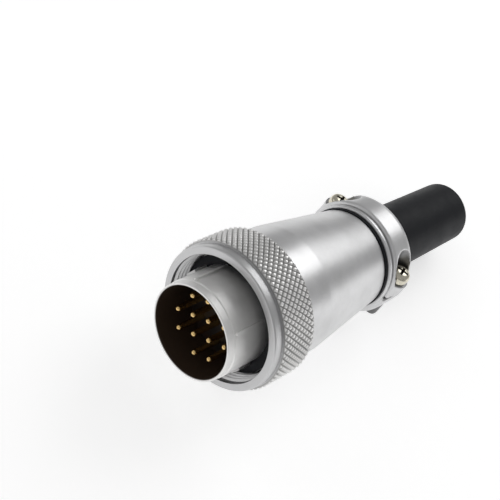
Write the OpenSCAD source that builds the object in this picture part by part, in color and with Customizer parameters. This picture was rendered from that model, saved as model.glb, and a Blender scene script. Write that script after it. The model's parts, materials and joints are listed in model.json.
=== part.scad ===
// Straight cable plug of a circular multi-pole connector.
// The plug's axis is X. The origin is the centre of the mating face, and +X points out of it.
// +Z points up through the heads of the cable clamp's screws.
// Distances called _at are measured backwards along the axis from the mating face.

/* [Mating barrel] */
// Outer radius of the barrel
barrel_r = 12.25; // [12:0.05:12.6]
// How far the plain nose ahead of the keys stands below the barrel's surface
nose_step = 0.2; // [0.17:0.01:0.3]
// Length of the plain nose
nose_len = 2; // [1.6:0.1:2.1]
// Wall of the barrel
barrel_wall = 0.85; // [0.7:0.05:1]
// Distance from the mating face to the flange
flange_at = 14.6; // [14:0.1:15]
// Thickness of the flange that holds the coupling ring
flange_len = 2.4; // [2:0.1:2.6]
// Height of the flange above the neck behind it
flange_lip = 1.8; // [1.6:0.05:2]
// Wall of the neck behind the flange
neck_wall = 1.6; // [1.4:0.05:1.8]
// Distance from the mating face to the rear end of the plug shell
shell_end = 34; // [33:0.1:35]
// Turn of the contacts and keys against the clamp, in degrees
front_roll = 54.5; // [0:0.5:90]
// Height of the polarising keys above the barrel
key_h = 0.55; // [0.4:0.05:0.8]
// Distance from the mating face to the start of the narrow keys
narrow_key_at = 2.4; // [2.2:0.1:4]
// Width of the two narrow keys
narrow_key_w = 0.8; // [0.6:0.1:1.2]
// Distance from the mating face to the start of the broad keys
broad_key_at = 7.6; // [6:0.1:8.5]
// Width of the three broad keys
broad_key_w = 2.8; // [2:0.1:3.4]
// Thickness of the rubber seal on the flange
seal_len = 1.3; // [1:0.1:1.5]

/* [Contacts] */
// Spacing of the contact grid
pin_pitch = 4.95; // [4.8:0.01:5]
// Radius of a contact pin
pin_r = 0.78; // [0.7:0.01:0.82]
// Distance from the mating face to the pin tips
pin_tip_at = 3; // [2.6:0.1:4]
// Height of a contact's shoulder above the pin
pin_shoulder_step = 0.42; // [0.35:0.01:0.5]
// Length of a contact's shoulder
pin_shoulder_len = 3; // [2:0.1:4]
// Wall of a contact's solder cup
cup_wall = 0.35; // [0.25:0.01:0.45]
// Length of the solder cups behind the rear insulator
cup_len = 6; // [5:0.1:7]
// Depth of the hole in a solder cup
cup_hole_depth = 4; // [3:0.1:5]
// Length of the opening in the side of a solder cup
cup_cut_len = 3; // [2:0.1:3.5]

/* [Insulators] */
// Length of the insert in front of the step that seats it
insert_front_len = 6; // [5:0.1:7]
// Distance from the flange's back to the step that seats the insert
insert_step_behind = 0.5; // [0.3:0.1:1]
// Height of the insert's rear flange above the barrel's bore
insert_step = 0.3; // [0.2:0.05:0.35]
// Thickness of the insert's rear flange
insert_flange_len = 3; // [2.5:0.1:3.5]
// Thickness of the rear insulator
rear_insulator_len = 5; // [4.5:0.1:5.5]
// Thickness of the ring that holds the insulators in
retainer_len = 2; // [1.5:0.1:2.5]
// Width of the retaining ring, from its bore to its rim
retainer_wall = 1; // [0.9:0.1:1.6]

/* [Coupling ring] */
// How far the ring's mouth lies ahead of the flange
ring_ahead = 5.7; // [5:0.1:6]
// Thickness of the ring's rear lip
lip_len = 2.7; // [2.4:0.1:3]
// Free travel of the ring along the axis
ring_float = 2; // [1.5:0.1:2.2]
// Thickness of the slip washer in front of the lip
slip_washer_len = 0.6; // [0.4:0.1:0.8]
// Clearance between the flange and the ring's thread
thread_clearance = 0.3; // [0.2:0.05:0.4]
// Wall of the ring from its thread to its collar
ring_wall = 2.55; // [2.4:0.05:2.7]
// Length of the smooth collar
collar_len = 2.4; // [2:0.1:3]
// Height of the knurl's crests above the collar
knurl_lift = 0.95; // [0.8:0.05:1.1]
// Depth of the knurl
knurl_depth = 0.5; // [0.35:0.05:0.6]
// Number of diamonds around the ring
knurl_count = 70; // [60:2:80]
// Number of half diamonds along the ring
knurl_rows = 11; // [9:2:13]

/* [Back shell] */
// Wall of the back shell over the plug shell's thread
back_wall = 3.65; // [3.5:0.05:3.8]
// Distance from the mating face to the crease where the cone begins
crease_at = 31; // [29:0.5:34]
// How far the front part narrows on its way to the crease
crease_drop = 0.3; // [0.1:0.05:0.5]
// Wall of the back shell at its rear end
back_rear_wall = 1.8; // [1.6:0.05:2]
// Distance from the mating face to the rear end of the back shell
back_end = 56.9; // [56:0.1:58]

/* [Cable boot] */
// Radius of the hole for the cable
cable_r = 6; // [5.5:0.1:6.3]
// Wall of the boot where the clamp grips it
boot_wall = 3.05; // [2.8:0.05:3.2]
// How much the boot narrows behind the clamp
boot_taper = 0.55; // [0.2:0.05:0.8]
// Distance from the mating face to the boot's rear end
boot_end = 104; // [98:0.5:108]
// Thickness of the boot's inner flange
boot_flange_len = 2; // [1.6:0.1:2.2]
// Thickness of the gland washer
gland_washer_len = 1; // [0.8:0.1:1.2]

/* [Cable clamp] */
// Thickness of the gasket in front of the clamp
gasket_len = 0.8; // [0.6:0.1:1]
// Length of the clamp's threaded neck
clamp_neck_len = 7.7; // [7.4:0.1:8]
// Wall of the clamp's threaded neck
clamp_neck_wall = 2.4; // [2.2:0.05:2.6]
// Height of the clamp's front ring above the back shell
clamp_ring_lip = 1; // [0.8:0.05:1.2]
// Thickness of the clamp's front ring
clamp_ring_len = 1.4; // [1.2:0.1:1.6]
// Wall of the clamp's band at its crown
band_wall = 5.85; // [5.6:0.05:6.1]
// Length of the clamp's band
band_len = 8.2; // [8:0.1:8.6]
// Radius of the band's rounded edges
band_round = 1.1; // [0.8:0.05:1.3]
// Gap between the two halves
split_gap = 0.6; // [0.4:0.1:0.8]
// Thread radius of the clamp screws
screw_r = 1.5; // [1.4:0.05:1.6]
// Wall between a clamp screw and the clamp's bore
screw_wall = 1.95; // [1.8:0.05:2.1]
// Wall of the bosses around the clamp screws
boss_wall = 1.8; // [1.7:0.05:1.9]
// How far the flat underside lies below the clamp's front ring
foot_drop = 0.1; // [0.1:0.05:0.3]
// Height of the screw seats above the axis
seat_z = 4.6; // [4.2:0.1:5]
// Width of the rim under a screw's head
head_lip = 1.25; // [1.1:0.05:1.35]
// Height of the screw heads
head_h = 2.3; // [2:0.1:2.5]
// Thickness of the spring washers
spring_washer_h = 0.8; // [0.6:0.1:0.9]

/* [Hidden] */

$fn = 96;
slip = 0.05;          // radial clearance of parts that are pushed or screwed together
running = 0.08;       // radial clearance of the coupling ring on the neck
edge = 0.3;           // broken edges
gap = 0.3;            // gap between parts that never touch
over = 1;             // how far a cut runs past what it cuts
far = 40;             // beyond the sides of the plug
eps = 0.01;

nose_r = barrel_r - nose_step;
barrel_bore_r = barrel_r - barrel_wall;
insert_flange_r = barrel_bore_r + insert_step;
rear_bore_r = insert_flange_r + 2 * slip;
neck_r = rear_bore_r + neck_wall;
flange_r = neck_r + flange_lip;
flange_back = flange_at + flange_len;
insert_step_at = flange_back + insert_step_behind;
insert_at = insert_step_at - insert_front_len;
insert_back = insert_step_at + insert_flange_len;
rear_insulator_back = insert_back + rear_insulator_len;
retainer_bore_r = insert_flange_r - retainer_wall;
spanner_slot_w = 2;
spanner_slot_depth = 1;

pin_shoulder_r = pin_r + pin_shoulder_step;
cup_r = pin_shoulder_r - 2 * slip;
cup_end = rear_insulator_back + cup_len;

lip_front = flange_back + ring_float + slip_washer_len;
ring_at = flange_at - ring_ahead;
ring_back = lip_front + lip_len;
ring_bore_r = flange_r + thread_clearance;
ring_relief_r = ring_bore_r + 0.5;
ring_relief_len = 2;
mouth_bevel = 0.8;
collar_r = ring_bore_r + ring_wall;
knurl_r = collar_r + knurl_lift;
knurl_bed_r = collar_r - 0.1;

back_at = ring_back + gap;
thread_cup_r = neck_r + slip;
back_front_r = thread_cup_r + back_wall;
crease_r = back_front_r - crease_drop;
o_ring_r = 0.62;
o_ring_room = 2 * (o_ring_r + 0.03);
shoulder_at = shell_end + o_ring_room;

boot_r = cable_r + boot_wall;
boot_end_r = boot_r - boot_taper;
boot_end_round = 0.9;
clamp_bore_r = boot_r + 2 * slip;
clamp_thread_r = clamp_bore_r + clamp_neck_wall + slip;
back_rear_r = clamp_thread_r + back_rear_wall;
clamp_ring_r = back_rear_r + clamp_ring_lip;
band_r = clamp_bore_r + band_wall;
gasket_back = back_end + gasket_len;
neck_front = gasket_back - clamp_neck_len;
boot_front = neck_front - boot_flange_len;
washer_front = boot_front - gland_washer_len;
washer_clear = 0.15;
ring_end = gasket_back + clamp_ring_len;
band_end = ring_end + band_len;
cap_front = ring_end + gap;
screw_at = (ring_end + band_end) / 2;
screw_y = clamp_bore_r + screw_wall + screw_r;
boss_r = screw_r + boss_wall;
foot_z = clamp_ring_r + foot_drop;
head_r = screw_r + head_lip;
head_z = seat_z + spring_washer_h;
head_dome_r = 5;
recess_len = 3.4;
recess_w = 0.7;
recess_depth = 1.3;
screw_end_z = -foot_z + 0.8;

// Places of the keys around the barrel, counted from the contact grid's own axis
narrow_keys = [-92, -13.5];
broad_keys = [-130.5, 63.5, 145.5];

// The grid of contacts: four rows and columns without the corners
pin_places = [
  for (row = [1.5, 0.5, -0.5, -1.5], col = [-1.5, -0.5, 0.5, 1.5])
    if (abs(row) + abs(col) < 3) [row * pin_pitch, col * pin_pitch]
];

// Turns a shape that was drawn along +Z so that it runs backwards along the plug
module along_axis() rotate([0, -90, 0]) children();

// A turned part: points are [radius, distance behind the mating face]
module turned(points) along_axis() rotate_extrude() polygon(points);

// Points of a quarter arc about a centre, from one angle to another
function arc(centre, r, from, to, steps = 5) =
  [for (i = [0:steps]) let (a = from + (to - from) * i / steps) centre + r * [cos(a), sin(a)]];

// A polarising key on the barrel: a low rib that starts with a point
module key(angle, width, from) {
  until = flange_at - seal_len - gap;
  root = barrel_wall / 2;
  rotate([0, 0, angle]) intersection() {
    translate([barrel_r - root, 0, 0]) rotate([0, 90, 0]) linear_extrude(key_h + 2 * root) polygon([
      [-from, 0], [-from - width, width / 2], [-until, width / 2],
      [-until, -width / 2], [-from - width, -width / 2]
    ]);
    cylinder(r = barrel_r + key_h, h = flange_at);
  }
}

module plug_shell() color("#b9babb") {
  union() {
    turned([
      [barrel_bore_r + edge, 0], [nose_r, 0], [nose_r, nose_len],
      [barrel_r, nose_len + nose_step], [barrel_r, flange_at],
      [flange_r, flange_at], [flange_r, flange_back], [neck_r, flange_back],
      [neck_r, shell_end - edge], [neck_r - edge, shell_end], [rear_bore_r, shell_end],
      [rear_bore_r, insert_step_at], [barrel_bore_r, insert_step_at],
      [barrel_bore_r, edge]
    ]);
    along_axis() rotate([0, 0, front_roll]) {
      for (angle = narrow_keys) key(angle, narrow_key_w, narrow_key_at);
      for (angle = broad_keys) key(angle, broad_key_w, broad_key_at);
    }
  }
}

module front_seal() color("#1b1c1e") turned([
  [barrel_r + slip, flange_at - seal_len], [flange_r - gap, flange_at - seal_len],
  [flange_r - gap, flange_at], [barrel_r + slip, flange_at]
]);

// A stack of twelve holes, one for each contact
module pin_holes(radius, from, to)
  along_axis() rotate([0, 0, front_roll]) for (place = pin_places)
    translate([place[0], place[1], from]) cylinder(r = radius, h = to - from);

module pin_insert() color("#17120f") difference() {
  turned([
    [0, insert_at], [barrel_bore_r - slip - edge, insert_at],
    [barrel_bore_r - slip, insert_at + edge], [barrel_bore_r - slip, insert_step_at],
    [insert_flange_r, insert_step_at], [insert_flange_r, insert_back], [0, insert_back]
  ]);
  pin_holes(pin_r + slip, insert_at - over, insert_back + over);
  pin_holes(pin_shoulder_r + slip, insert_back - pin_shoulder_len / 2, insert_back + over);
}

module rear_insulator() color("#1d1613") difference() {
  turned([
    [0, insert_back], [insert_flange_r, insert_back],
    [insert_flange_r, rear_insulator_back], [0, rear_insulator_back]
  ]);
  pin_holes(cup_r + slip, insert_back - over, rear_insulator_back + over);
  pin_holes(pin_shoulder_r + slip, insert_back - over, insert_back + pin_shoulder_len / 2);
}

module retaining_ring() color("#a9a48f") difference() {
  turned([
    [retainer_bore_r, rear_insulator_back], [insert_flange_r, rear_insulator_back],
    [insert_flange_r, rear_insulator_back + retainer_len],
    [retainer_bore_r, rear_insulator_back + retainer_len]
  ]);
  // two slots for the assembly spanner
  along_axis()
    translate([-spanner_slot_w / 2, -far, rear_insulator_back + retainer_len - spanner_slot_depth])
      cube([spanner_slot_w, 2 * far, spanner_slot_depth + over]);
}

module contact_pin(number) color("#d8a63c") {
  place = pin_places[number - 1];
  shoulder_at = insert_back - pin_shoulder_len / 2;
  along_axis() rotate([0, 0, front_roll]) translate([place[0], place[1], 0]) difference() {
    union() {
      translate([0, 0, pin_tip_at + pin_r]) sphere(r = pin_r, $fn = 48);
      translate([0, 0, pin_tip_at + pin_r])
        cylinder(r = pin_r, h = shoulder_at - pin_tip_at - pin_r + eps);
      translate([0, 0, shoulder_at]) cylinder(r = pin_shoulder_r, h = pin_shoulder_len);
      translate([0, 0, insert_back]) cylinder(r = cup_r, h = cup_end - insert_back);
    }
    translate([0, 0, cup_end - cup_hole_depth])
      cylinder(r = cup_r - cup_wall, h = cup_hole_depth + over);
    // the solder cup is open on one side
    translate([0, -cup_r - over, cup_end - cup_cut_len])
      cube([cup_r + over, 2 * (cup_r + over), cup_cut_len + over]);
  }
}

module slip_washer() color("#c4c2b8") turned([
  [neck_r + running, lip_front - slip_washer_len], [flange_r - gap, lip_front - slip_washer_len],
  [flange_r - gap, lip_front], [neck_r + running, lip_front]
]);

// The diamond knurl: a tube whose outside rises and falls on a staggered grid,
// split along the grooves so that each diamond is a four-sided point
module knurl_band(from, to, bore) {
  sides = 2 * knurl_count;
  root = knurl_r - knurl_depth;
  function height(i, j) = (i == 0 || i == knurl_rows || (i + j) % 2 == 0) ? root : knurl_r;
  function ring_point(r, j, z) = [r * cos(360 * j / sides), r * sin(360 * j / sides), z];
  outside = [
    for (i = [0:knurl_rows], j = [0:sides - 1])
      ring_point(height(i, j), j, from + (to - from) * i / knurl_rows)
  ];
  inside = [for (z = [from, to], j = [0:sides - 1]) ring_point(bore, j, z)];
  base = (knurl_rows + 1) * sides;
  function at(i, j) = i * sides + j % sides;
  function in_at(i, j) = base + i * sides + j % sides;
  polyhedron(
    points = concat(outside, inside),
    faces = concat(
      [
        for (i = [0:knurl_rows - 1], j = [0:sides - 1], half = [0, 1])
          (i + j) % 2 == 0
            ? (half == 0 ? [at(i, j), at(i + 1, j), at(i + 1, j + 1)]
                         : [at(i, j), at(i + 1, j + 1), at(i, j + 1)])
            : (half == 0 ? [at(i, j), at(i + 1, j), at(i, j + 1)]
                         : [at(i + 1, j), at(i + 1, j + 1), at(i, j + 1)])
      ],
      [for (j = [0:sides - 1]) [at(0, j), at(0, j + 1), in_at(0, j + 1), in_at(0, j)]],
      [
        for (j = [0:sides - 1])
          [at(knurl_rows, j + 1), at(knurl_rows, j), in_at(1, j), in_at(1, j + 1)]
      ],
      [for (j = [0:sides - 1]) [in_at(0, j + 1), in_at(1, j + 1), in_at(1, j), in_at(0, j)]]
    )
  );
}

module coupling_ring() color("#b4b5b6") union() {
  turned([
    [ring_bore_r + mouth_bevel, ring_at], [collar_r - 0.5, ring_at],
    [collar_r - 0.15, ring_at + 0.15], [collar_r, ring_at + 0.5],
    [collar_r, ring_at + collar_len - 0.2], [knurl_bed_r, ring_at + collar_len],
    [knurl_bed_r, ring_back - 0.4], [knurl_bed_r - 0.4, ring_back],
    [neck_r + running, ring_back], [neck_r + running, lip_front],
    [ring_relief_r, lip_front], [ring_relief_r, lip_front - ring_relief_len + 0.5],
    [ring_bore_r, lip_front - ring_relief_len], [ring_bore_r, ring_at + mouth_bevel]
  ]);
  along_axis() knurl_band(ring_at + collar_len + gap, ring_back - 0.5, knurl_bed_r - 0.6);
}

module back_shell() color("#bdbec0") turned([
  [thread_cup_r + edge, back_at], [back_front_r - 0.2, back_at], [back_front_r, back_at + 0.2],
  [crease_r, crease_at], [back_rear_r + 0.15, back_end - 0.4], [back_rear_r - 0.15, back_end],
  [clamp_thread_r, back_end], [clamp_thread_r, washer_front], [clamp_thread_r - 1.2, washer_front],
  [clamp_thread_r - 1.2, washer_front - 0.8], [neck_r - 1.5, washer_front - 2.4],
  [neck_r - 1, shoulder_at], [thread_cup_r, shoulder_at], [thread_cup_r, back_at + edge]
]);

module shell_o_ring() color("#151617") along_axis()
  translate([0, 0, shell_end + o_ring_room / 2])
    rotate_extrude() translate([neck_r - o_ring_r, 0]) circle(r = o_ring_r, $fn = 32);

module gland_washer() color("#bfb9a6") turned([
  [cable_r + 1, washer_front], [clamp_thread_r - washer_clear, washer_front],
  [clamp_thread_r - washer_clear, boot_front], [cable_r + 1, boot_front]
]);

module cable_boot() color("#1b1c20") turned(concat(
  [
    [cable_r, boot_front], [clamp_thread_r - washer_clear, boot_front],
    [clamp_thread_r - washer_clear, neck_front], [boot_r, neck_front], [boot_r, band_end]
  ],
  arc([boot_end_r - boot_end_round, boot_end - boot_end_round], boot_end_round, 0, 90),
  [[cable_r, boot_end]]
));

module clamp_gasket() color("#101112") turned([
  [clamp_thread_r + slip, back_end], [back_rear_r + edge, back_end],
  [back_rear_r + edge, gasket_back], [clamp_thread_r + slip, gasket_back]
]);

// The clamp's band with its rounded crown, from one end to the other
module band(from) turned(concat(
  [[clamp_bore_r, from]],
  arc([band_r - band_round, from + band_round], band_round, -90, 0, 4),
  arc([band_r - band_round, band_end - band_round], band_round, 0, 90, 4),
  [[clamp_bore_r, band_end]]
));

// Places something at both screws, with its Z axis along the screw
module at_screws() for (side = [-1, 1]) at_screw(side) children();
module at_screw(side) translate([-screw_at, side * screw_y, 0]) children();

// A slab across the whole clamp, from one height to another
module slab(low, high)
  translate([-band_end - over, -far, low]) cube([band_len + 2 * over, 2 * far, high - low]);

module clamp_bore() along_axis()
  translate([0, 0, neck_front - over]) cylinder(r = clamp_bore_r, h = band_end - neck_front + 2 * over);

module clamp_base() color("#c0c1c2") difference() {
  union() {
    turned([
      [clamp_bore_r, neck_front], [clamp_thread_r - slip, neck_front],
      [clamp_thread_r - slip, gasket_back], [clamp_ring_r - edge, gasket_back],
      [clamp_ring_r, gasket_back + edge], [clamp_ring_r, ring_end - 0.2],
      [clamp_ring_r - 0.2, ring_end], [clamp_bore_r, ring_end]
    ]);
    difference() {
      union() {
        band(ring_end - 0.5);
        at_screws() translate([0, 0, -foot_z]) cylinder(r = boss_r, h = foot_z);
      }
      slab(-split_gap / 2, far);
      slab(-far, -foot_z);
    }
  }
  clamp_bore();
  at_screws() translate([0, 0, -foot_z - over]) cylinder(r = screw_r + 0.03, h = foot_z + 2 * over);
}

module clamp_cap() color("#c2c3c4") difference() {
  union() {
    band(cap_front);
    at_screws() cylinder(r = boss_r, h = seat_z);
  }
  slab(-far, split_gap / 2);
  clamp_bore();
  at_screws() translate([0, 0, -over]) cylinder(r = screw_r + 0.2, h = far);
  at_screws() translate([0, 0, seat_z]) cylinder(r = boss_r - slip, h = far);
}

module clamp_screw(side) color("#c9c3a4") at_screw(side) difference() {
  union() {
    translate([0, 0, screw_end_z]) cylinder(r = screw_r, h = head_z - screw_end_z + eps);
    // pan head with a domed top
    intersection() {
      translate([0, 0, head_z]) cylinder(r = head_r, h = head_h);
      translate([0, 0, head_z + head_h - head_dome_r]) sphere(r = head_dome_r);
    }
  }
  // cross recess
  for (turn = [20, 110]) rotate([0, 0, turn])
    translate([-recess_len / 2, -recess_w / 2, head_z + head_h - recess_depth])
      cube([recess_len, recess_w, recess_depth + over]);
}

module spring_washer(side) color("#b8b6a8") at_screw(side) translate([0, 0, seat_z]) difference() {
  cylinder(r = head_r - slip, h = spring_washer_h);
  translate([0, 0, -over]) cylinder(r = screw_r + 0.12, h = spring_washer_h + 2 * over);
  // the slit of the split washer
  rotate([0, 0, 35]) translate([0, -0.25, -over]) cube([head_r, 0.5, spring_washer_h + 2 * over]);
}

plug_shell();
front_seal();
pin_insert();
rear_insulator();
retaining_ring();
for (number = [1:12])
  contact_pin(number);
slip_washer();
coupling_ring();
back_shell();
shell_o_ring();
gland_washer();
cable_boot();
clamp_gasket();
clamp_base();
clamp_cap();
clamp_screw(1);  // clamp_screw_left
clamp_screw(-1);  // clamp_screw_right
spring_washer(1);  // spring_washer_left
spring_washer(-1);  // spring_washer_right
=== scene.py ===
"""Dresses the cable plug: turned and cast metal, knurled ring, contacts, rubber boot and the stage.

Laid out as an add-on. Run as a script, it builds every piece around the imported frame.
"""

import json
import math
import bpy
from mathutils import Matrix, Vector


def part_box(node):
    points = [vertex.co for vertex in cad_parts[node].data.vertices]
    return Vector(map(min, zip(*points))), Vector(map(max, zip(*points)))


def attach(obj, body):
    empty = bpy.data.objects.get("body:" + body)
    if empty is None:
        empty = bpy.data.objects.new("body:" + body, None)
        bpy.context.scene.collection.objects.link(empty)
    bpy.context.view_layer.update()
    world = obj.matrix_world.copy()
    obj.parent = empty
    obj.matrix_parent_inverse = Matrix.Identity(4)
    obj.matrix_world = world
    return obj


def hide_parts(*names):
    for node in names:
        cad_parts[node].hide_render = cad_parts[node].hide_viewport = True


bl_info = {
    "name": "Cable Plug Dressing",
    "version": (1, 0, 0),
    "blender": (4, 5, 0),
    "location": "View3D > Sidebar > Plug",
    "description": "Builds the detailed pieces, finishes and stage of a circular cable plug",
    "category": "Object",
}

import bmesh
import bpy
from bpy.props import FloatProperty, FloatVectorProperty, IntProperty, PointerProperty
from bpy.types import Operator, Panel, PropertyGroup
from mathutils import Matrix, Vector

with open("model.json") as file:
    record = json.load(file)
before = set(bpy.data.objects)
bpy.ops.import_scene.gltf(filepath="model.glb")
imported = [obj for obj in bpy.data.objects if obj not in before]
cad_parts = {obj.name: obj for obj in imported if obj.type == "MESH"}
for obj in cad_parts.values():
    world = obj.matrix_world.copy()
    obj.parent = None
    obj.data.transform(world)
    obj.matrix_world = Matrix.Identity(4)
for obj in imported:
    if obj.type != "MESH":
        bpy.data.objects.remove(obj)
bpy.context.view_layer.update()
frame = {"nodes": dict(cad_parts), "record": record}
NODES = frame["nodes"]
MM = 0.001
TINY = 1e-7
X_AXIS = (1.0, 0.0, 0.0)
SMOOTH_ANGLE = math.radians(38)


def back(node):
    """Distances of a node's front and rear ends behind the mating face, in millimetres."""
    low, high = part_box(node)
    return -high[0] / MM, -low[0] / MM


def reach(node):
    """Radius of a turned node about the plug's axis, in millimetres."""
    low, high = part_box(node)
    return (high[1] - low[1]) / 2 / MM


RING_FRONT, RING_BACK = back("coupling_ring")
RING_R = reach("coupling_ring")
SHELL_FRONT, SHELL_BACK = back("back_shell")
PLUG_BACK = back("plug_shell")[1]
FLANGE_R = reach("plug_shell")
NECK_R = FLANGE_R - 1.8
BARREL_R = NECK_R - 1.15
BARREL_WALL = 0.85
BOOT_FRONT, BOOT_BACK = back("cable_boot")

# The clamp, in millimetres: heights are above the plug's axis.
CLAMP_SPLIT = 0.3
EAR_R, EAR_LOW, POCKET_SEAT = 3.3, 0.32, 4.6
POCKET_R, HOLE_R = 3.5, 1.7
POST_R, POST_FOOT, POST_TOP = 2.05, -9.7, -0.4
SCREW_TIP, HEAD_HEIGHT = -9.4, 2.3
CROSS_TURN, CROSS_DEPTH = 20, 1.35


def screw_place(side):
    """Where a clamp screw stands, in metres."""
    low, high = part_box("clamp_screw_" + side)
    return (low.x + high.x) / 2, (low.y + high.y) / 2


# ---------------------------------------------------------------- sizes and colours


class PlugSizes(PropertyGroup):
    """Sizes of the details that are added to the solids, in millimetres."""

    edge_round: FloatProperty(name="Edge round", description="Rounding of turned edges",
                              default=0.16, min=0.02, max=0.4)
    knurl_count: IntProperty(name="Knurl count", description="Diamonds around the ring",
                             default=70, min=40, max=90)
    knurl_rows: IntProperty(name="Knurl rows", description="Half diamonds along the ring",
                            default=11, min=7, max=15)
    knurl_depth: FloatProperty(name="Knurl depth", description="Depth of the knurl's grooves",
                               default=0.5, min=0.2, max=0.7)
    thread_pitch: FloatProperty(name="Thread pitch", description="Pitch of the ring's thread",
                                default=1.25, min=0.8, max=2.0)
    clamp_crown: FloatProperty(name="Clamp crown", description="Radius of the clamp's band",
                               default=15.2, min=14.5, max=15.6)
    cast_voxel: FloatProperty(name="Cast fineness", default=0.22, min=0.15, max=0.5,
                              description="Grid on which cast pieces are softened")


class PlugColours(PropertyGroup):
    """Colours of the finishes."""

    nickel: FloatVectorProperty(name="Nickel", description="Satin nickel plating", subtype="COLOR",
                                size=3, min=0, max=1, default=(0.68, 0.68, 0.685))
    barrel: FloatVectorProperty(name="Barrel", subtype="COLOR", size=3, min=0, max=1,
                                description="Brighter plating of the barrel and the ring",
                                default=(0.88, 0.875, 0.865))
    gold: FloatVectorProperty(name="Gold", description="Plating of the contacts",
                              subtype="COLOR", size=3, min=0, max=1, default=(0.86, 0.60, 0.26))
    brown: FloatVectorProperty(name="Insulator", description="Moulded insulator", subtype="COLOR",
                               size=3, min=0, max=1, default=(0.010, 0.006, 0.004))
    rubber: FloatVectorProperty(name="Rubber", description="Boot and seals", subtype="COLOR",
                                size=3, min=0, max=1, default=(0.011, 0.012, 0.015))
    screw: FloatVectorProperty(name="Screw", description="Warm bright plating of the screws",
                               subtype="COLOR", size=3, min=0, max=1, default=(0.70, 0.66, 0.55))


class PlugStage(PropertyGroup):
    """Camera, floor and lamps."""

    camera_at: FloatVectorProperty(name="Camera", description="Place of the camera", size=3,
                                   unit="LENGTH", default=(0.15680, 0.06318, 0.18813))
    camera_right: FloatVectorProperty(name="Camera right", size=3, default=(-0.672, 0.6025, 0.4305),
                                      description="Direction to the picture's right")
    camera_up: FloatVectorProperty(name="Camera up", description="Direction to the picture's top",
                                   size=3, default=(-0.291, -0.7495, 0.5947))
    lens: FloatProperty(name="Lens", description="Focal length in millimetres", default=79.56,
                        min=10)
    floor: FloatVectorProperty(name="Floor", description="Colour of the floor", subtype="COLOR",
                               size=3, min=0, max=1, default=(0.86, 0.86, 0.86))
    floor_glow: FloatProperty(name="Floor glow", default=0.55, min=0, max=2,
                              description="Brightness of the floor where it is seen or mirrored")
    room_low: FloatProperty(name="Room below", description="Brightness of the room's lower half",
                            default=0.85, min=0, max=2)
    room_high: FloatProperty(name="Room above", description="Brightness of the room's ceiling",
                             default=0.40, min=0, max=2)


# ---------------------------------------------------------------- shader maths


class Value:
    """A socket that ordinary arithmetic works on."""

    def __init__(self, maker, socket):
        self.maker, self.socket = maker, socket

    def _do(self, operation, a, b):
        return self.maker.add("ShaderNodeMath", {"operation": operation}, {0: a, 1: b})

    def __add__(self, other):
        return self._do("ADD", self, other)

    def __sub__(self, other):
        return self._do("SUBTRACT", self, other)

    def __mul__(self, other):
        return self._do("MULTIPLY", self, other)

    def __truediv__(self, other):
        return self._do("DIVIDE", self, other)

    def __pow__(self, other):
        return self._do("POWER", self, other)

    def __rsub__(self, other):
        return self._do("SUBTRACT", other, self)

    def __rtruediv__(self, other):
        return self._do("DIVIDE", other, self)

    __radd__ = __add__
    __rmul__ = __mul__


class Maker:
    """Adds nodes to one material or world."""

    def __init__(self, tree):
        self.tree = tree
        tree.nodes.clear()

    def add(self, kind, settings=None, inputs=None, output=0):
        """A node of that type, with its settings and the values or links of its sockets."""
        node = self.tree.nodes.new(kind)
        for key, value in (settings or {}).items():
            setattr(node, key, value)
        for key, value in (inputs or {}).items():
            socket = node.inputs[key]
            if isinstance(value, Value):
                self.tree.links.new(value.socket, socket)
            else:
                if socket.type == "RGBA" and len(value) == 3:
                    value = (*value, 1)
                socket.default_value = value
        return Value(self, node.outputs[output]) if node.outputs else None

    def millimetres(self, scale=(1, 1, 1), turn=(0, 0, 0)):
        """Object coordinates in millimetres, stretched by scale."""
        place = self.add("ShaderNodeTexCoord", output="Object")
        return self.add("ShaderNodeMapping", {}, {
            "Vector": place, "Rotation": turn, "Scale": tuple(s / MM for s in scale)})

    def noise(self, where, scale, detail=3.0, rough=0.5):
        """Clouds between 0 and 1; scale counts them per millimetre."""
        return self.add("ShaderNodeTexNoise", {}, {
            "Vector": where, "Scale": scale, "Detail": detail, "Roughness": rough}, "Fac")

    def spread(self, value, low, high, to_low=0.0, to_high=1.0):
        """Maps low..high to to_low..to_high and stops there."""
        return self.add("ShaderNodeMapRange", {"clamp": True}, {
            "Value": value, "From Min": low, "From Max": high, "To Min": to_low, "To Max": to_high})

    def mix(self, factor, a, b):
        """Colour a where the factor is 0 and colour b where it is 1."""
        return self.add("ShaderNodeMix", {"data_type": "RGBA"}, {0: factor, 6: a, 7: b}, 2)

    def split(self, place):
        """The x, y and z of a place."""
        parts = self.add("ShaderNodeSeparateXYZ", {}, {0: place}).socket.node
        return [Value(self, parts.outputs[i]) for i in range(3)]

    def axis_radius(self):
        """(place along the axis, distance from the axis), in millimetres."""
        x, y, z = self.split(self.millimetres())
        return x, (y * y + z * z) ** 0.5

    def screw_radius(self, x, y):
        """Distance from the nearer clamp screw's own axis, in millimetres."""
        screw_x, screw_y = screw_place("left")
        off_x = x - screw_x / MM
        off_y = (y * y) ** 0.5 - abs(screw_y) / MM
        return (off_x * off_x + off_y * off_y) ** 0.5

    def bump(self, height, distance, strength, normal=None):
        """A normal from a height; distance in metres."""
        inputs = {"Height": height, "Distance": distance, "Strength": strength}
        if normal is not None:
            inputs["Normal"] = normal
        return self.add("ShaderNodeBump", {}, inputs)

    def surface(self, constants, **links):
        """The shader and the output; what varies comes as links, the rest as constants."""
        names = {"colour": "Base Color", "rough": "Roughness", "metal": "Metallic",
                 "normal": "Normal"}
        inputs = dict(constants)
        inputs.update({names[key]: value for key, value in links.items()})
        shader = self.add("ShaderNodeBsdfPrincipled", {}, inputs, "BSDF")
        self.add("ShaderNodeOutputMaterial", {}, {"Surface": shader})


def material(name):
    """A new material and its maker."""
    finish = bpy.data.materials.new(name)
    finish.use_nodes = True
    return finish, Maker(finish.node_tree)


def darker(colour, share):
    """The share of a colour's brightness."""
    return tuple(c * share for c in colour)


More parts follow.
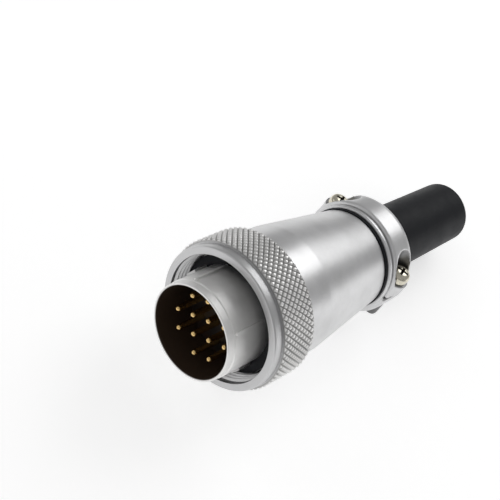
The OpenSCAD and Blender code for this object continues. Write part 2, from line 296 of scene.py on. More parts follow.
def nickel_turned(name, colour, rough, rings, inner, grooves=None):
    """Satin nickel on a lathe-turned surface: fine rings and soft clouding.

    rings is the height of the turning marks in hundredths of a millimetre. inner is the radius
    inside which the bore begins, the colour inside it and whether it is metal: on the barrel the
    real brown lining of the insulator, on the ring a darker nickel that is painted shade over the
    collar and the bore. grooves are the root and the crest of a knurl, whose groove floors are
    painted dark as shade.
    """
    finish, make = material(name)
    x, radius = make.axis_radius()
    marks = 9.0
    along = make.add("ShaderNodeCombineXYZ", {}, {0: x * marks, 1: radius * marks})
    ring = make.noise(along, 1.0, 4.0, 0.7)
    cloud = make.noise(make.millimetres(), 0.28, 4.0, 0.55)
    speck = make.noise(make.millimetres(), 6.5, 3.0, 0.6)
    tone = make.mix(make.spread(cloud, 0.3, 0.7), darker(colour, 0.90), colour)
    tone = make.mix(make.spread(speck, 0.62, 0.78) * 0.25, tone, darker(colour, 0.72))
    roughness = make.spread(cloud, 0.3, 0.7, rough, rough + 0.08) + ring * 0.05
    lines = make.bump(ring, rings * MM / 100, 0.35)
    normal = make.bump(speck, 0.016 * MM, 0.35, lines)
    if grooves:
        # painted shade: the knurl's groove floors darken towards the root radius
        tone = make.mix(make.spread(radius, *grooves), darker(colour, 0.42), tone)
    edge, lining_and_shade, metal = inner
    # inside the edge the colour turns to the bore's: on the barrel the real brown lining, on the
    # ring painted shade over the collar and bore
    outside = make.spread(radius, edge + 0.05, edge + 0.25)
    tone = make.mix(outside, lining_and_shade, tone)
    if metal:
        make.surface({"Metallic": 1.0}, colour=tone, rough=roughness, normal=normal)
    else:
        make.surface({}, colour=tone, rough=roughness, normal=normal, metal=outside)
    return finish


def nickel_cast(name, colour, rough=0.30, grain=0.02):
    """Satin nickel over a fine die-cast grain, with painted shade in the screw pockets and under
    the screws.
    """
    finish, make = material(name)
    place = make.millimetres()
    cloud = make.noise(place, 0.16, 4.0, 0.55)
    grit = make.noise(place, 5.0, 4.0, 0.65)
    dimple = make.noise(place, 1.3, 3.0, 0.5)
    tone = make.mix(make.spread(cloud, 0.32, 0.68), darker(colour, 0.88), colour)
    tone = make.mix(make.spread(grit, 0.60, 0.75) * 0.35, tone, darker(colour, 0.70))
    x, y, z = make.split(place)
    radius = make.screw_radius(x, y)
    # painted shade: the screw pockets are painted near black
    pocket = (make.spread(radius, POCKET_R - 0.05, POCKET_R + 0.12, 1, 0)
              * make.spread(z, POCKET_SEAT - 0.3, POCKET_SEAT + 0.1))
    # painted shade: the post ends under the clamp, with the saddle close around them, are painted
    # dark
    post = make.spread(radius, POST_R + 0.05, POST_R + 0.3, 1, 0) * make.spread(z, -4.0, -5.0)
    tone = make.mix(pocket * 0.85, tone, darker(colour, 0.08))
    tone = make.mix(post * 0.85, tone, darker(colour, 0.10))
    roughness = make.spread(grit, 0.3, 0.7, rough, rough + 0.12)
    waves = make.bump(dimple, grain * MM * 2, 0.30)
    normal = make.bump(grit, grain * MM, 0.45, waves)
    make.surface({"Metallic": 1.0}, colour=tone, rough=roughness, normal=normal)
    return finish


def plated_bright(name, colour, rough=0.16, head_top=None):
    """Bright plating on small hardware; below head_top the recess of a screw's head has painted
    shade.
    """
    finish, make = material(name)
    place = make.millimetres()
    cloud = make.noise(place, 1.1, 3.0)
    grit = make.noise(place, 9.0, 3.0, 0.6)
    tone = make.mix(make.spread(cloud, 0.35, 0.65), darker(colour, 0.82), colour)
    if head_top:
        x, y, z = make.split(place)
        radius = make.screw_radius(x, y)
        under = head_top - z
        depth = under - 0.53 * make.spread(radius, 1.5, 2.5)
        # painted shade: the cross recess below the head's top is painted near black
        cross = (make.spread(depth, 0.20, 0.32) * make.spread(radius, 1.95, 2.05, 1, 0)
                 * make.spread(under, 1.5, 1.6, 1, 0))
        tone = make.mix(cross, tone, darker(colour, 0.06))
    roughness = make.spread(grit, 0.3, 0.7, rough, rough + 0.12)
    make.surface({"Metallic": 1.0}, colour=tone, rough=roughness,
                 normal=make.bump(grit, 0.01 * MM, 0.4))
    return finish


def moulded_brown(name, colour):
    """Dark brown thermoset with warm flow streaks."""
    finish, make = material(name)
    streak = make.noise(make.millimetres((1, 0.35, 1.3), (0.9, 0, 0)), 0.45, 5.0, 0.6)
    grit = make.noise(make.millimetres(), 7.0, 3.0, 0.6)
    warm = (colour[0] * 3.0, colour[1] * 2.0, colour[2] * 1.5)
    tone = make.mix(make.spread(streak, 0.48, 0.72), colour, warm)
    roughness = make.spread(grit, 0.3, 0.7, 0.38, 0.55)
    make.surface({}, colour=tone, rough=roughness, normal=make.bump(grit, 0.02 * MM, 0.4))
    return finish


def rubber(name, colour, rough=0.42, grain=0.015):
    """Black rubber: satin skin with a fine moulded grain and faint scuffs."""
    finish, make = material(name)
    place = make.millimetres()
    grit = make.noise(place, 5.5, 4.0, 0.6)
    cloud = make.noise(place, 0.25, 4.0, 0.6)
    scuff = make.noise(make.millimetres((0.25, 1, 1)), 1.6, 4.0, 0.65)
    pale = tuple(c * 2.2 + 0.004 for c in colour)
    tone = make.mix(make.spread(scuff, 0.60, 0.78) * 0.5, colour, pale)
    roughness = make.spread(cloud, 0.3, 0.7, rough, rough + 0.1) + grit * 0.06
    make.surface({"Specular IOR Level": 0.16}, colour=tone, rough=roughness,
                 normal=make.bump(grit, grain * MM, 0.5))
    return finish


FINISHES = {}


def make_finishes(colours):
    """One material for each finish slot."""
    nickel, barrel, gold, brown, black, screw = (
        tuple(getattr(colours, key))
        for key in ("nickel", "barrel", "gold", "brown", "rubber", "screw"))
    bore = BARREL_R - BARREL_WALL
    # lining is the barrel's real brown insulator lining; mouth_shade is darker nickel painted as
    # shade on the ring's collar and bore
    lining, mouth_shade = (0.034, 0.020, 0.012), darker(nickel, 0.84)
    # between these radii the knurl's groove floors are painted dark as shade
    grooves = RING_R - 0.5, RING_R - 0.1
    head_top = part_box("clamp_screw_left")[1].z / MM
    FINISHES.update({
        "nickel_turned": nickel_turned("nickel_turned", barrel, 0.40, 12, (bore, lining, False)),
        "nickel_knurled": nickel_turned("nickel_knurled", barrel, 0.30, 6,
                                        (RING_R - 0.85, mouth_shade, True), grooves),
        "nickel_cast": nickel_cast("nickel_cast", nickel),
        "washer_steel": plated_bright("washer_steel", darker(nickel, 0.9), 0.24),
        "screw_nickel": plated_bright("screw_nickel", screw, head_top=head_top),
        "contact_gold": plated_bright("contact_gold", gold, 0.14),
        "insulator_brown": moulded_brown("insulator_brown", brown),
        "seal_rubber": rubber("seal_rubber", black, 0.45),
        "boot_rubber": rubber("boot_rubber", black),
    })


# ---------------------------------------------------------------- shaping


def outline(bm, points):
    """A closed line of (place along X, radius) corners in millimetres, to be spun about X."""
    corners = [bm.verts.new((x * MM, 0, r * MM)) for x, r in points]
    edges = [bm.edges.new((a, b)) for a, b in zip(corners, corners[1:] + corners[:1])]
    return corners + edges


def lathe(points, steps):
    """A closed shape turned about X from (distance behind the mating face, radius) corners."""
    bm = bmesh.new()
    line = outline(bm, [(-s, r) for s, r in points])
    bmesh.ops.spin(bm, geom=line, cent=(0, 0, 0), axis=X_AXIS, dvec=(0, 0, 0),
                   angle=math.tau, steps=steps, use_merge=True, use_duplicate=False)
    bmesh.ops.remove_doubles(bm, verts=bm.verts, dist=TINY)
    bmesh.ops.dissolve_degenerate(bm, edges=bm.edges, dist=TINY)
    bmesh.ops.recalc_face_normals(bm, faces=bm.faces)
    return bm


def soften(bm, width, least=25, segments=3, keep=None):
    """Rounds the edges that turn by more than least degrees; width in millimetres."""
    bm.edges.ensure_lookup_table()
    sharp = [e for e in bm.edges if e.is_manifold and e.calc_face_angle() > math.radians(least)
             and (keep is None or keep(e))]
    bmesh.ops.bevel(bm, geom=sharp, offset=width * MM, offset_type="OFFSET", segments=segments,
                    profile=0.5, affect="EDGES", clamp_overlap=True, material=-1)


def helix(bm, base, crest, start, end, pitch, foot, steps=72):
    """A thread ridge wound about X; base and crest are radii, all in millimetres."""
    turns = (end - start) / pitch
    count = max(int(turns * steps), 1)
    flat = foot * 0.08
    line = outline(bm, [(-(start + d), r) for d, r in
                        ((-foot / 2, base), (-flat, crest), (flat, crest), (foot / 2, base))])
    bmesh.ops.spin(bm, geom=line, cent=(0, 0, 0), axis=X_AXIS,
                   dvec=(-pitch * MM / steps, 0, 0), angle=math.tau * count / steps,
                   steps=count, use_merge=False, use_duplicate=False)
    close(bm)


def close(bm):
    """Fills the open ends of a shape."""
    bmesh.ops.holes_fill(bm, edges=[e for e in bm.edges if e.is_boundary], sides=0)


def upright(bm, x, y):
    """Stands a shape that was turned about X on the Z axis, at a place in metres."""
    bmesh.ops.rotate(bm, verts=bm.verts, cent=(0, 0, 0),
                     matrix=Matrix.Rotation(-math.pi / 2, 3, "Y"))
    bmesh.ops.translate(bm, verts=bm.verts, vec=(x, y, 0))


def passing(name, bm):
    """An object that holds a shape only until it is cut, cast or used as a tool."""
    mesh = bpy.data.meshes.new(name)
    bm.to_mesh(mesh)
    bm.free()
    obj = bpy.data.objects.new(name, mesh)
    bpy.context.scene.collection.objects.link(obj)
    return obj


def settled(obj):
    """The mesh that a passing object's modifiers give; the object goes."""
    graph = bpy.context.evaluated_depsgraph_get()
    made = bpy.data.meshes.new_from_object(obj.evaluated_get(graph))
    bpy.data.objects.remove(obj)
    return made


def carved(bm, tools, crossing=False):
    """What the cutting tools leave of a shape; crossing tools run through themselves."""
    bmesh.ops.recalc_face_normals(bm, faces=bm.faces)
    blank = passing("blank", bm)
    for tool in tools:
        step = blank.modifiers.new("cut", "BOOLEAN")
        step.operation, step.object, step.solver = "DIFFERENCE", tool, "EXACT"
        step.use_self = crossing
    return settled(blank)


def add_mesh(bm, made):
    """Adds a settled mesh to a shape; the mesh goes."""
    bm.from_mesh(made)
    bpy.data.meshes.remove(made)
    return bm


def piece(name, bm, finish, body, node, weighted=True):
    """Makes the finished object, rides it on its body and hides the solid it stands for."""
    bmesh.ops.recalc_face_normals(bm, faces=bm.faces)
    mesh = bpy.data.meshes.new(name)
    for face in bm.faces:
        face.smooth = True
    bm.to_mesh(mesh)
    bm.free()
    mesh.set_sharp_from_angle(angle=SMOOTH_ANGLE)
    obj = bpy.data.objects.new(name, mesh)
    bpy.context.scene.collection.objects.link(obj)
    mesh.materials.append(FINISHES[finish])
    if weighted:
        even = obj.modifiers.new("even_normals", "WEIGHTED_NORMAL")
        even.keep_sharp = True
    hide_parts(node)
    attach(obj, body)


# ---------------------------------------------------------------- operators


class PLUG_OT_finishes(Operator):
    """Make the finishes and paint the solids that stay"""

    bl_idname = "plug.finishes"
    bl_label = "Finishes"

    def execute(self, context):
        make_finishes(context.scene.plug_colours)
        for part in frame["record"]["subparts"]:
            mesh = NODES[part["node"]].data
            mesh.materials.clear()
            mesh.materials.append(FINISHES[part["material_slot"]])
        return {"FINISHED"}


class PLUG_OT_stage(Operator):
    """Set the camera, floor, lamps and world"""

    bl_idname = "plug.stage"
    bl_label = "Stage"

    def execute(self, context):
        stage = context.scene.plug_stage
        right, up = Vector(stage.camera_right).normalized(), Vector(stage.camera_up).normalized()
        towards = right.cross(up).normalized()
        up = towards.cross(right)
        turn = Matrix((right, up, towards)).transposed().to_4x4()
        camera = bpy.data.objects.new("camera", bpy.data.cameras.new("camera"))
        camera.matrix_world = Matrix.Translation(stage.camera_at) @ turn
        camera.data.lens = stage.lens
        camera.data.sensor_width = 36
        camera.data.clip_start = 0.01
        camera.data.clip_end = 10
        context.scene.collection.objects.link(camera)
        context.scene.camera = camera
        self.floor(context, stage)
        self.lamps(context, camera.matrix_world)
        self.world(context, stage)
        context.scene.view_settings.view_transform = "Standard"
        return {"FINISHED"}

    def floor(self, context, stage):
        """A pale sheet that the ring and the clamp's foot rest on."""
        half_size, foot_in, below = 0.32, 0.001, Vector((0, 0, -0.0001))
        ring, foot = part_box("coupling_ring")[0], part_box("clamp_base")[0]
        slope = math.atan2(foot.z - ring.z, ring.x - foot.x - foot_in)
        bm = bmesh.new()
        bmesh.ops.create_grid(bm, x_segments=2, y_segments=2, size=half_size)
        bmesh.ops.rotate(bm, verts=bm.verts, cent=(0, 0, 0), matrix=Matrix.Rotation(slope, 3, "Y"))
        bmesh.ops.translate(bm, verts=bm.verts, vec=Vector((ring.x, 0, ring.z)) + below)
        mesh = bpy.data.meshes.new("floor")
        bm.to_mesh(mesh)
        bm.free()
        floor = bpy.data.objects.new("floor", mesh)
        context.scene.collection.objects.link(floor)
        finish, make = material("floor_paper")
        path = make.add("ShaderNodeLightPath").socket.node
        seen = (Value(make, path.outputs["Is Camera Ray"])
                + Value(make, path.outputs["Is Glossy Ray"])
                + Value(make, path.outputs["Is Transmission Ray"]))
        pale = tuple(stage.floor)
        paper = make.spread(make.noise(make.millimetres(), 0.6), 0.3, 0.7)
        matte = make.add("ShaderNodeBsdfDiffuse", {},
                         {"Color": make.mix(paper, darker(pale, 0.985), pale)}, "BSDF")
        glow = make.add("ShaderNodeEmission", {},
                        {"Color": (1, 1, 1), "Strength": seen * stage.floor_glow})
        both = make.add("ShaderNodeAddShader", {}, {0: matte, 1: glow})
        make.add("ShaderNodeOutputMaterial", {}, {"Surface": both})
        mesh.materials.append(finish)

    def lamps(self, context, view):
        """Soft boxes, placed by the camera's own axes: (right, up, towards), size, brightness."""
        target = Vector((-0.03, 0, 0))
        plan = (
            ("key", (0.42, 0.40, -0.02), (0.34, 0.30), 1.85),
            ("low", (0.46, -0.13, -0.12), (0.34, 0.14), 1.15),
            ("side", (-0.30, 0.50, 0.25), (0.20, 0.20), 0.9),
            ("front", (-0.30, 0.10, 0.50), (0.22, 0.22), 0.8),
        )
        turn = view.to_3x3()
        for name, place, size, glow in plan:
            data = bpy.data.lights.new(name, "AREA")
            data.shape = "RECTANGLE"
            data.size, data.size_y = size
            data.energy = glow * math.pi * size[0] * size[1]
            lamp = bpy.data.objects.new(name, data)
            lamp.location = target + turn @ Vector(place)
            lamp.rotation_euler = (target - lamp.location).to_track_quat("-Z", "Y").to_euler()
            context.scene.collection.objects.link(lamp)

    def world(self, context, stage):
        """A pale room with a greyer ceiling."""
        world = bpy.data.worlds.new("studio")
        world.use_nodes = True
        make = Maker(world.node_tree)
        way = make.add("ShaderNodeTexCoord", output="Generated")
        height = make.add("ShaderNodeSeparateXYZ", {}, {0: way}, "Z")
        room = make.spread(height, -0.25, 0.05, stage.room_low, stage.room_high)
        sky = make.add("ShaderNodeBackground", {}, {"Color": (1, 1, 1), "Strength": room})
        make.add("ShaderNodeOutputWorld", {}, {"Surface": sky})
        context.scene.world = world


class PLUG_OT_coupling_ring(Operator):
    """Turn the coupling ring with its knurl and thread"""

    bl_idname = "plug.coupling_ring"
    bl_label = "Coupling ring"

    def execute(self, context):
        sizes = context.scene.plug_sizes
        front, rear = RING_FRONT, RING_BACK
        collar = RING_R - 0.95
        bed = collar - 0.1
        bore, neck_hole = FLANGE_R + 0.85, NECK_R + 0.08
        lip = rear - 2.7
        bm = lathe([
            (front, bore), (front, collar - 0.5), (front + 0.15, collar - 0.15),
            (front + 0.5, collar), (front + 2.2, collar), (front + 2.4, bed), (rear - 0.4, bed),
            (rear, bed - 0.4), (rear, neck_hole), (lip, neck_hole), (lip, bore)], steps=210)
        soften(bm, 0.12)
        helix(bm, base=bore + 0.05, crest=FLANGE_R + 0.3, start=front + 1.2, end=lip - 2.2,
              pitch=sizes.thread_pitch, foot=sizes.thread_pitch * 0.86)
        self.knurl(bm, sizes, bed, start=front + 2.7, end=rear - 0.5)
        piece("coupling_ring_turned", bm, "nickel_knurled", "ring", "coupling_ring")
        return {"FINISHED"}

    def knurl(self, bm, sizes, bed, start, end):
        """Diamonds between crossed grooves: one column of them is made and copied round."""
        count, rows = sizes.knurl_count, sizes.knurl_rows
        root = (RING_R - sizes.knurl_depth) * MM
        half = math.tau / count / 2
        step = (end - start) / rows
        near, flank, worn = 2e-6, 0.34 * MM, 0.10 * MM

        def corner(row, column):
            angle = column * half
            return Vector((-(start + row * step) * MM, root * math.sin(angle),
                           root * math.cos(angle)))

        def on_root():
            return [f for f in bm.faces
                    if all(abs(v.co.yz.length - root) < near for v in f.verts)]

        cells = []
        for row in range(1, rows):
            shift = row % 2
            cells.append([corner(row - 1, shift), corner(row, shift + 1),
                          corner(row + 1, shift), corner(row, shift - 1)])
        last = rows % 2
        cells.append([corner(0, -1), corner(0, 1), corner(1, 0)])
        cells.append([corner(rows, last - 1), corner(rows - 1, last), corner(rows, last + 1)])
        column = [bm.faces.new([bm.verts.new(place) for place in cell]) for cell in cells]
        geom = column + [v for f in column for v in f.verts] + [e for f in column for e in f.edges]
        bmesh.ops.spin(bm, geom=geom, cent=(0, 0, 0), axis=X_AXIS, dvec=(0, 0, 0),
                       angle=math.tau * (count - 1) / count, steps=count - 1,
                       use_duplicate=True, use_merge=False)
        verts = list({v for f in on_root() for v in f.verts})
        bmesh.ops.remove_doubles(bm, verts=verts, dist=near)
        lattice = on_root()
        for face in lattice:
            centre = face.calc_center_median()
            if face.normal.dot(Vector((0, centre.y, centre.z))) < 0:
                face.normal_flip()
        rim = [e for e in {e for f in lattice for e in f.edges} if len(e.link_faces) == 1]
        skirt = bmesh.ops.extrude_edge_only(bm, edges=rim)
        for v in [g for g in skirt["geom"] if isinstance(g, bmesh.types.BMVert)]:
            scale = (bed - 0.3) * MM / v.co.yz.length
            v.co.y, v.co.z = v.co.y * scale, v.co.z * scale
        bmesh.ops.inset_individual(bm, faces=lattice, thickness=flank,
                                   depth=sizes.knurl_depth * MM, use_even_offset=True)
        tops = list({e for f in lattice for e in f.edges})
        bmesh.ops.bevel(bm, geom=tops, offset=worn, offset_type="OFFSET", segments=1,
                        profile=0.5, affect="EDGES", clamp_overlap=True, material=-1)


class PLUG_OT_plug_shell(Operator):
    """Turn the mating barrel with its flange, and set the keys on it"""

    bl_idname = "plug.plug_shell"
    bl_label = "Plug shell"

    def execute(self, context):
        rear, neck, barrel = PLUG_BACK, NECK_R, BARREL_R
        inner, seat = barrel - BARREL_WALL, neck - 1.6
        flange, flange_end = 14.6, 17.0
        bm = lathe([
            (0, inner), (0, barrel - 0.2), (2.0, barrel - 0.2), (2.2, barrel), (flange, barrel),
            (flange, FLANGE_R), (flange_end, FLANGE_R), (flange_end, neck), (rear - 0.4, neck),
            (rear, neck - 0.4), (rear, seat), (flange_end + 0.5, seat),
            (flange_end + 0.5, inner)], steps=200)
        soften(bm, 0.24, keep=lambda e: max(v.co.x for v in e.verts) > -0.1 * MM)
        soften(bm, context.scene.plug_sizes.edge_round, least=40)
        helix(bm, base=neck - 0.3, crest=neck + 0.02, start=24.0, end=rear - 1.2, pitch=1.0,
              foot=0.8)
        for angle in (-37.5, 41):
            self.key(bm, barrel, angle, start=2.4, width=0.8, segments=4)
        for angle in (-76, 118, 200):
            self.key(bm, barrel, angle, start=7.6, width=2.8, segments=1)
        piece("plug_shell_turned", bm, "nickel_turned", "plug", "plug_shell")
        return {"FINISHED"}

    def key(self, bm, barrel, angle, start, width, segments):
        """A rib along the barrel with a rounded or pointed nose."""
        end, low, high = 13.0, barrel - 0.3, barrel + 0.55
        made = bmesh.ops.create_cube(bm, size=1.0)["verts"]
        bmesh.ops.scale(bm, verts=made, vec=Vector((end - start, width, high - low)) * MM)
        bmesh.ops.translate(bm, verts=made,
                            vec=Vector((-(start + end) / 2, 0, (low + high) / 2)) * MM)
        edges = {e for v in made for e in v.link_edges}
        nose = [e for e in edges if all(abs(v.co.x + start * MM) < TINY for v in e.verts)
                and abs(e.verts[0].co.y - e.verts[1].co.y) < TINY]
        shaped = bmesh.ops.bevel(bm, geom=nose, offset=width * 0.49 * MM, offset_type="OFFSET",
                                 segments=segments, profile=0.5, affect="EDGES", material=-1)
        verts = {v for v in made if v.is_valid} | set(shaped["verts"])
        top = {e for v in verts for e in v.link_edges
               if all(abs(w.co.z - high * MM) < TINY for w in e.verts)}
        rounded = bmesh.ops.bevel(bm, geom=list(top), offset=0.14 * MM, offset_type="OFFSET",
                                  segments=2, profile=0.5, affect="EDGES", material=-1)
        verts = {v for v in verts if v.is_valid} | set(rounded["verts"])
        bmesh.ops.rotate(bm, verts=list(verts), cent=(0, 0, 0),
                         matrix=Matrix.Rotation(-math.radians(angle), 3, "X"))


class PLUG_OT_back_shell(Operator):
    """Turn the tapered back shell"""

    bl_idname = "plug.back_shell"
    bl_label = "Back shell"

    def execute(self, context):
        front, rear, radius = SHELL_FRONT, SHELL_BACK, reach("back_shell")
        crease, small, bore = 31.0, radius - 3.7, radius - 5.5
        washer, cup = BOOT_FRONT - 1, radius - 3.65

        def cone(place):
            return radius - 0.3 - (place - crease) * (radius - 0.3 - small) / (rear - crease)

        bm = lathe([
            (front, cup), (front, radius), (crease - 0.5, radius - 0.28), (crease, radius - 0.31),
            (crease + 0.5, cone(crease + 0.5)), (rear, small), (rear, bore), (washer, bore),
            (washer, bore - 1.2), (washer - 0.8, bore - 1.2), (washer - 2.4, cup - 1.55),
            (PLUG_BACK + 1.3, cup - 1.05), (PLUG_BACK + 1.3, cup)], steps=200)
        soften(bm, 0.25, least=40)
        piece("back_shell_cast", bm, "nickel_cast", "plug", "back_shell")
        return {"FINISHED"}


class PLUG_OT_clamp(Operator):
    """Cast the two halves of the cable clamp"""

    bl_idname = "plug.clamp"
    bl_label = "Cable clamp"

    def execute(self, context):
        sizes = context.scene.plug_sizes
        rear, arm = back("clamp_cap")[1], reach("clamp_cap")
        ring, ring_r, bore = rear - 8.2, arm - 1.52, arm - 6.75
        neck_front, neck_r, shoulder = ring - 9.1, bore + 2.37, ring - 1.4
        split, foot = CLAMP_SPLIT * MM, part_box("clamp_base")[0].z
        places = [screw_place(side) for side in ("left", "right")]
        neck = lathe([(neck_front, bore), (neck_front, neck_r), (shoulder, neck_r),
                      (shoulder, ring_r), (ring, ring_r), (ring, bore)], steps=160)
        saddle = self.band(ring - 0.5, rear, bore, sizes.clamp_crown + 0.2)
        self.keep(saddle, -split, -1)
        self.keep(saddle, foot, 1)
        posts = [self.post(x, y, POST_FOOT, POST_TOP, POST_R) for x, y in places]
        self.cast("clamp_base", "plug", [neck, saddle] + posts, sizes.cast_voxel)
        crown = self.band(ring + 0.1, rear, bore, sizes.clamp_crown)
        self.keep(crown, split, 1)
        ears = [self.post(x, y, EAR_LOW, POCKET_SEAT, EAR_R) for x, y in places]
        tools = [self.pocket(x, y) for x, y in places]
        shapes = [add_mesh(bmesh.new(), carved(shape, tools)) for shape in [crown] + ears]
        for tool in tools:
            bpy.data.objects.remove(tool)
        self.cast("clamp_cap", "cap", shapes, sizes.cast_voxel)
        return {"FINISHED"}

    def band(self, front, rear, bore, crown):
        """A full turn of the band; its rear edge is rounder than its front one."""
        return lathe([(front, bore), (front, crown - 0.7), (front + 0.2, crown - 0.2),
                      (front + 0.7, crown), (rear - 2.0, crown), (rear - 1.2, crown - 0.2),
                      (rear - 0.5, crown - 0.7), (rear - 0.1, crown - 1.5), (rear, crown - 2.2),
                      (rear, bore)], steps=160)

    def keep(self, bm, height, side):
        """Cuts at a height in metres and keeps what lies above (1) or below (-1)."""
        geom = bm.verts[:] + bm.edges[:] + bm.faces[:]
        bmesh.ops.bisect_plane(bm, geom=geom, plane_co=(0, 0, height), plane_no=(0, 0, side),
                               clear_inner=True)
        close(bm)
        bmesh.ops.recalc_face_normals(bm, faces=bm.faces)

    def post(self, x, y, low, high, radius):
        """A round post with a chamfered foot, between two heights in millimetres."""
        bm = lathe([(-low, 0), (-low, radius - 0.3), (-low - 0.3, radius), (-high, radius),
                    (-high, 0)], steps=48)
        upright(bm, x, y)
        return bm

    def pocket(self, x, y):
        """The screw's hole and the pocket above its seat, as a cutting tool."""
        below, above = -1, 20
        bm = lathe([(-below, 0), (-below, HOLE_R), (-POCKET_SEAT, HOLE_R),
                    (-POCKET_SEAT, POCKET_R), (-above, POCKET_R), (-above, 0)], steps=48)
        upright(bm, x, y)
        bmesh.ops.recalc_face_normals(bm, faces=bm.faces)
        return passing("pocket", bm)

    def cast(self, node, body, shapes, voxel):
        """Melts the shapes into one casting with soft corners."""
        whole = bmesh.new()
        for shape in shapes:
            mesh = bpy.data.meshes.new(node + "_rough")
            shape.to_mesh(mesh)
            shape.free()
            add_mesh(whole, mesh)
        rough = passing(node + "_rough", whole)
        grid = rough.modifiers.new("grid", "REMESH")
        grid.mode, grid.voxel_size, grid.adaptivity = "VOXEL", voxel * MM, 0.0
        smooth = rough.modifiers.new("smooth", "SMOOTH")
        smooth.factor, smooth.iterations = 0.5, 6
        thin = rough.modifiers.new("thin", "DECIMATE")
        thin.ratio = 0.35
        bm = add_mesh(bmesh.new(), settled(rough))
        piece(node + "_cast", bm, "nickel_cast", body, node, weighted=False)


class PLUG_OT_screws(Operator):
    """Turn the clamp screws with their cross recess and thread, and wind their spring washers"""

    bl_idname = "plug.screws"
    bl_label = "Clamp screws"

    def execute(self, context):
        for side in ("left", "right"):
            x, y = screw_place(side)
            self.screw(side, x, y)
            self.washer(side, x, y)
        return {"FINISHED"}

    def screw(self, side, x, y):
        """The head and shank are cut by the cross before the thread is wound on."""
        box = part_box("clamp_screw_" + side)
        low, high = max(box[0].z / MM, SCREW_TIP), box[1].z / MM
        seat, shank, head = high - HEAD_HEIGHT, 1.36, 2.75
        bm = lathe([(-low, 0), (-low, 1.0), (-low - 0.5, shank), (-seat, shank), (-seat, head),
                    (-seat - 1.1, head), (-seat - 1.75, 2.35), (-high + 0.1, 1.5),
                    (-high, 0)], steps=64)
        soften(bm, 0.22, least=20, segments=2,
               keep=lambda e: max(v.co.x for v in e.verts) > (seat + 0.9) * MM)
        upright(bm, x, y)
        tool = self.cross(x, y, high)
        made = carved(bm, [tool], crossing=True)
        bpy.data.objects.remove(tool)
        bm = bmesh.new()
        helix(bm, base=1.34, crest=1.5, start=-seat + 0.4, end=-low - 0.5, pitch=0.5, foot=0.42,
              steps=32)
        upright(bm, x, y)
        piece("clamp_screw_" + side + "_turned", add_mesh(bm, made), "screw_nickel",
              "screw_" + side, "clamp_screw_" + side)

    def cross(self, x, y, high):
        """Two crossed wedges that narrow downwards, as a cutting tool."""
        bm = bmesh.new()
        for turn in (CROSS_TURN, CROSS_TURN + 90):
            arm = bmesh.ops.create_cube(bm, size=1.0)["verts"]
            for v in arm:
                deep = v.co.z < 0
                v.co.x *= (2.2 if deep else 3.7) * MM
                v.co.y *= (0.55 if deep else 0.85) * MM
                v.co.z = (high - CROSS_DEPTH if deep else high + 0.5) * MM
            bmesh.ops.rotate(bm, verts=arm, cent=(0, 0, 0),
                             matrix=Matrix.Rotation(math.radians(turn), 3, "Z"))
            bmesh.ops.translate(bm, verts=arm, vec=(x, y, 0))
        return passing("cross", bm)

    def washer(self, side, x, y):
        """A split ring whose ends stand a little apart."""
        node = "spring_washer_" + side
        low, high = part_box(node)
        inner, outer = 1.65, (high.y - low.y) / 2 / MM
        steps, rise, spare, turn = 48, 0.12, 0.02, math.radians(348)
        bottom, top = low.z / MM, high.z / MM - rise - spare
        bm = bmesh.new()
        line = outline(bm, ((bottom, inner), (top, inner), (top, outer), (bottom, outer)))
        bmesh.ops.spin(bm, geom=line, cent=(0, 0, 0), axis=X_AXIS,
                       dvec=(rise / steps * MM, 0, 0), angle=turn, steps=steps, use_merge=False,
                       use_duplicate=False)
        close(bm)
        soften(bm, 0.06, least=50, segments=2)
        upright(bm, x, y)
        piece(node + "_wound", bm, "screw_nickel", "cap", node)


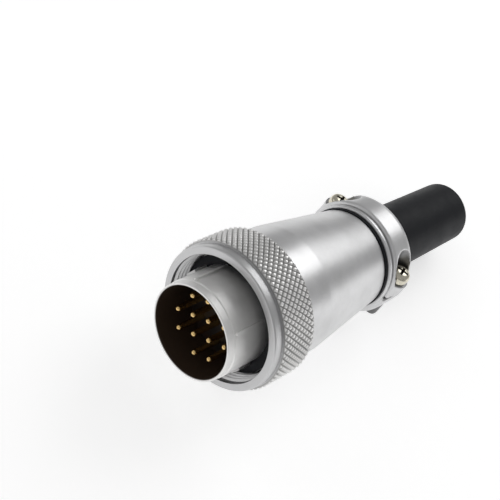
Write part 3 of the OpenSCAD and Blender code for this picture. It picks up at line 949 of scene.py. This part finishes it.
class PLUG_OT_boot(Operator):
    """Turn the rubber boot"""

    bl_idname = "plug.boot"
    bl_label = "Cable boot"

    def execute(self, context):
        front, rear, flange = BOOT_FRONT, BOOT_BACK, reach("cable_boot")
        grip, bore, end = flange - 2.4, flange - 5.45, flange - 2.95
        neck, taper, rows = front + 2.0, 67.3, 12
        rings = [(taper + (rear - taper) * k / rows, grip + (end - grip) * k / rows)
                 for k in range(rows)]
        bm = lathe([(front, bore), (front, flange), (neck, flange), (neck, grip)] + rings
                   + [(rear, end), (rear, bore)], steps=160)
        last, outer = -(rear - 0.01) * MM, 7 * MM
        soften(bm, 1.3, least=40, segments=6,
               keep=lambda e: max(v.co.x for v in e.verts) < last
               and e.verts[0].co.yz.length > outer)
        soften(bm, 0.3, least=40)
        piece("cable_boot_moulded", bm, "boot_rubber", "plug", "cable_boot")
        return {"FINISHED"}


CLASSES = (PlugSizes, PlugColours, PlugStage, PLUG_OT_finishes, PLUG_OT_stage,
           PLUG_OT_coupling_ring, PLUG_OT_plug_shell, PLUG_OT_back_shell, PLUG_OT_clamp,
           PLUG_OT_screws, PLUG_OT_boot)


class PLUG_PT_panel(Panel):
    """Lists the sizes, the colours and the operators"""

    bl_label = "Cable plug"
    bl_idname = "PLUG_PT_panel"
    bl_space_type = "VIEW_3D"
    bl_region_type = "UI"
    bl_category = "Plug"

    def draw(self, context):
        for group in ("plug_sizes", "plug_colours", "plug_stage"):
            values = getattr(context.scene, group)
            box = self.layout.box()
            for key in values.bl_rna.properties.keys():
                if key not in ("rna_type", "name"):
                    box.prop(values, key)
        for cls in CLASSES:
            if issubclass(cls, Operator):
                self.layout.operator(cls.bl_idname)


def register():
    for cls in CLASSES + (PLUG_PT_panel,):
        bpy.utils.register_class(cls)
    bpy.types.Scene.plug_sizes = PointerProperty(type=PlugSizes)
    bpy.types.Scene.plug_colours = PointerProperty(type=PlugColours)
    bpy.types.Scene.plug_stage = PointerProperty(type=PlugStage)


def unregister():
    for group in ("plug_sizes", "plug_colours", "plug_stage"):
        delattr(bpy.types.Scene, group)
    for cls in reversed(CLASSES + (PLUG_PT_panel,)):
        bpy.utils.unregister_class(cls)


def main():
    register()
    bpy.ops.plug.finishes()
    bpy.ops.plug.stage()
    bpy.ops.plug.coupling_ring()
    bpy.ops.plug.plug_shell()
    bpy.ops.plug.back_shell()
    bpy.ops.plug.clamp()
    bpy.ops.plug.screws()
    bpy.ops.plug.boot()


if __name__ == "__main__":
    main()
